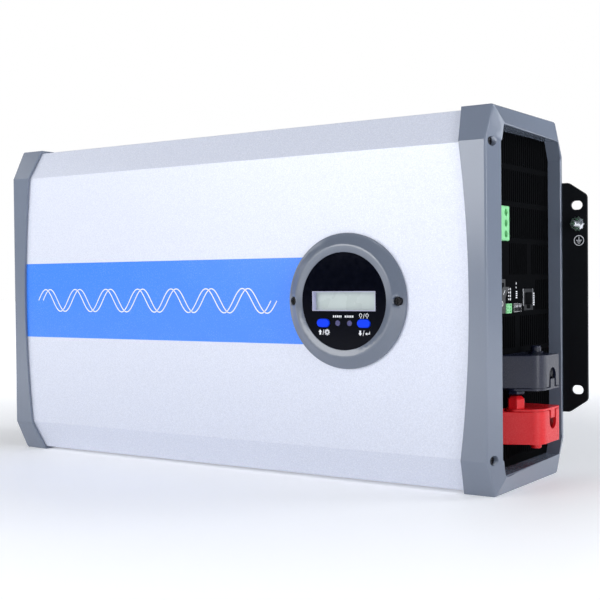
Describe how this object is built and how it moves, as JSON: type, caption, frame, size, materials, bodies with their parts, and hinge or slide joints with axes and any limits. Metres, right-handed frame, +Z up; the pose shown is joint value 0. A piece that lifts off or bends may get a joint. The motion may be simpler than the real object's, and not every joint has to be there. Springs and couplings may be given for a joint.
{
  "type": "power inverter",
  "caption": "Wall-mounted battery power inverter: octagonal sheet-metal body between grey end caps, round display, vented end panel with ports and covered direct-current terminals.",
  "frame": {"origin": "centre of the four wall slots, on the wall plane at the back of the chassis", "axes": "+X along the long side towards the port end, +Y into the wall (the display faces -Y), +Z up"},
  "size_m": [0.431, 0.129, 0.2314],
  "materials": {
    "cover_paint": "fine sparkle powder paint, silver white",
    "cap_grey": "satin grey moulding",
    "bezel_grey": "satin grey moulding",
    "chassis_black": "fine black powder paint",
    "panel_black": "fine black powder paint",
    "screw_black": "black zinc",
    "screw_steel": "bright zinc",
    "lens_black": "gloss black",
    "lcd_glass": "grey green display glass",
    "button_blue": "satin blue",
    "led_tint": "tinted clear",
    "connector_green": "light green moulding",
    "shell_metal": "bright plated shell",
    "plastic_black": "black moulding",
    "fan_black": "black moulding",
    "terminal_red": "satin red moulding",
    "terminal_black": "satin blue-black moulding",
    "copper": "plain copper",
    "board_green": "solder mask",
    "sink_aluminium": "extruded",
    "package_black": "moulded package",
    "ferrite": "sintered ferrite",
    "winding": "varnished wire",
    "can_sleeve": "shrink sleeve"
  },
  "bodies": {
    "casing": {"front_cover": "cover_paint", "end_cap_left": "cap_grey", "end_cap_right": "cap_grey", "display_bezel": "bezel_grey", "chassis": "chassis_black", "end_panel_left": "panel_black", "end_panel_right": "panel_black", "end_cap_screws": "screw_black", "bezel_screws": "screw_black", "fan_screws": "screw_black", "board_screws": "screw_steel", "chassis_screws": "screw_steel", "standoffs": "screw_steel", "earth_stud": "screw_steel", "earth_nut": "screw_steel", "dc_studs": "screw_steel", "dc_nuts": "screw_steel", "display_lens": "lens_black", "lcd_module": "lcd_glass", "indicator_leds": "led_tint", "ac_output_header": "connector_green", "signal_header": "connector_green", "usb_port": "shell_metal", "rj45_port": "plastic_black", "power_switch_body": "plastic_black", "tact_switches": "plastic_black", "fan_frame_lower": "fan_black", "fan_frame_upper": "fan_black", "terminal_body_positive": "terminal_red", "terminal_base_positive": "terminal_red", "terminal_body_negative": "terminal_black", "terminal_base_negative": "terminal_black", "dc_busbar_positive": "copper", "dc_busbar_negative": "copper", "main_board": "board_green", "display_board": "board_green", "port_board": "board_green", "heat_sinks": "sink_aluminium", "transistors": "package_black", "transformer_cores": "ferrite", "output_choke": "ferrite", "transformer_windings": "winding", "input_capacitors": "can_sleeve", "bus_capacitors": "can_sleeve"},
    "button_left_body": {"button_left": "button_blue"},
    "button_right_body": {"button_right": "button_blue"},
    "rocker_body": {"power_switch_rocker": "plastic_black"},
    "lid_positive_body": {"terminal_lid_positive": "terminal_red", "lid_knob_positive": "terminal_red"},
    "lid_negative_body": {"terminal_lid_negative": "terminal_black", "lid_knob_negative": "terminal_black"},
    "fan_lower_body": {"fan_impeller_lower": "fan_black"},
    "fan_upper_body": {"fan_impeller_upper": "fan_black"},
    "ac_plug_body": {"ac_output_plug": "connector_green"},
    "signal_plug_body": {"signal_plug": "connector_green"}
  },
  "joints": [
    {"name": "button_left_press", "type": "slide", "parent": "casing", "child": "button_left_body", "axis": [0, 1, 0], "range_m": [0, 0.0008], "stiffness_N_per_m": 300, "springref_m": -0.001},
    {"name": "button_right_press", "type": "slide", "parent": "casing", "child": "button_right_body", "axis": [0, 1, 0], "range_m": [0, 0.0008], "stiffness_N_per_m": 300, "springref_m": -0.001},
    {"name": "power_rocker", "type": "hinge", "parent": "casing", "child": "rocker_body", "pos_m": [0.1884, -0.089, 0.0022], "axis": [0, 1, 0], "range_deg": [-24, 0]},
    {"name": "lid_positive_swivel", "type": "hinge", "parent": "casing", "child": "lid_positive_body", "pos_m": [0.197, -0.079, -0.067], "axis": [0, 0, 1], "range_deg": [-95, 0]},
    {"name": "lid_negative_swivel", "type": "hinge", "parent": "casing", "child": "lid_negative_body", "pos_m": [0.197, -0.079, -0.0554], "axis": [0, 0, 1], "range_deg": [-95, 0]},
    {"name": "fan_lower_spin", "type": "hinge", "parent": "casing", "child": "fan_lower_body", "pos_m": [-0.178, -0.063, -0.046], "axis": [1, 0, 0], "continuous": true},
    {"name": "fan_upper_spin", "type": "hinge", "parent": "casing", "child": "fan_upper_body", "pos_m": [-0.178, -0.063, 0.046], "axis": [1, 0, 0], "continuous": true},
    {"name": "ac_plug_pull", "type": "slide", "parent": "casing", "child": "ac_plug_body", "axis": [1, 0, 0], "range_m": [0, 0.014]},
    {"name": "signal_plug_pull", "type": "slide", "parent": "casing", "child": "signal_plug_body", "axis": [1, 0, 0], "range_m": [0, 0.01]}
  ]
}
